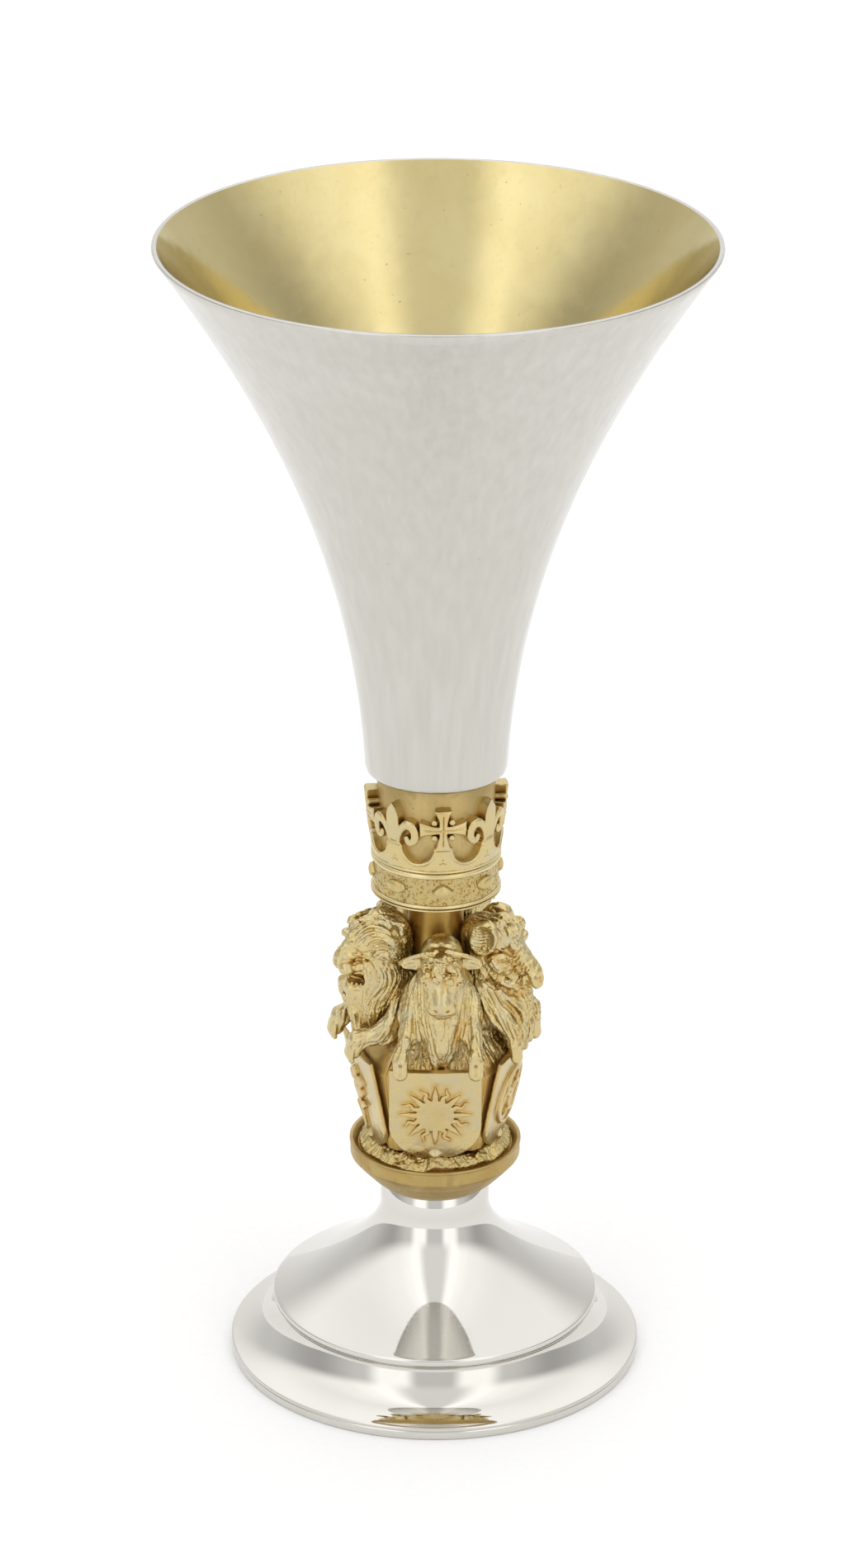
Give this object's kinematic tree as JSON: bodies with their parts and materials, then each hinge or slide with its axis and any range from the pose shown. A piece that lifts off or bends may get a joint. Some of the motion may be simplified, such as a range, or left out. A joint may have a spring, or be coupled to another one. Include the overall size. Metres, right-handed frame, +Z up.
{
  "type": "communion chalice",
  "caption": "Tall flared communion cup on a cast crown, a stem of heraldic beasts holding shields, and a stepped round foot.",
  "frame": {"origin": "on the chalice's axis at the underside of the foot, where it stands", "axes": "+Z up along the axis, -Y out of the front of the sun shield"},
  "size_m": [0.083, 0.083, 0.18],
  "materials": {
    "bowl_silver": "satin silver outside, satin gilt inside",
    "foot_silver": "mirror polished silver",
    "gilt_plain": "plain satin gilt",
    "gilt_cast": "cast and chased pale gilt with dark recesses",
    "gilt_bright": "burnished gilt",
    "steel": "turned steel"
  },
  "bodies": {
    "root": {"bowl": "bowl_silver", "bowl_socket": "steel", "crown_drum": "gilt_plain", "crown_cresting": "gilt_cast", "circlet_upper_bead": "gilt_bright", "circlet_band": "gilt_cast", "circlet_lower_bead": "gilt_bright", "jewel_lozenge_1": "gilt_bright", "jewel_lozenge_2": "gilt_bright", "jewel_lozenge_3": "gilt_bright", "jewel_lozenge_4": "gilt_bright", "jewel_oval_1": "gilt_bright", "jewel_oval_2": "gilt_bright", "jewel_oval_3": "gilt_bright", "jewel_oval_4": "gilt_bright", "stem_column": "gilt_bright", "beast_bull": "gilt_cast", "beast_boar": "gilt_cast", "beast_falcon": "gilt_cast", "beast_hart": "gilt_cast", "beast_lion": "gilt_cast", "shield_bull": "gilt_cast", "shield_boar": "gilt_cast", "shield_falcon": "gilt_cast", "shield_hart": "gilt_cast", "shield_lion": "gilt_cast", "shield_ground": "gilt_cast", "stem_dish": "gilt_plain", "foot_dome": "foot_silver", "foot_flange": "foot_silver", "foot_wire": "foot_silver", "tie_rod": "steel", "tie_washer": "steel", "tie_nut": "steel"}
  },
  "joints": []
}
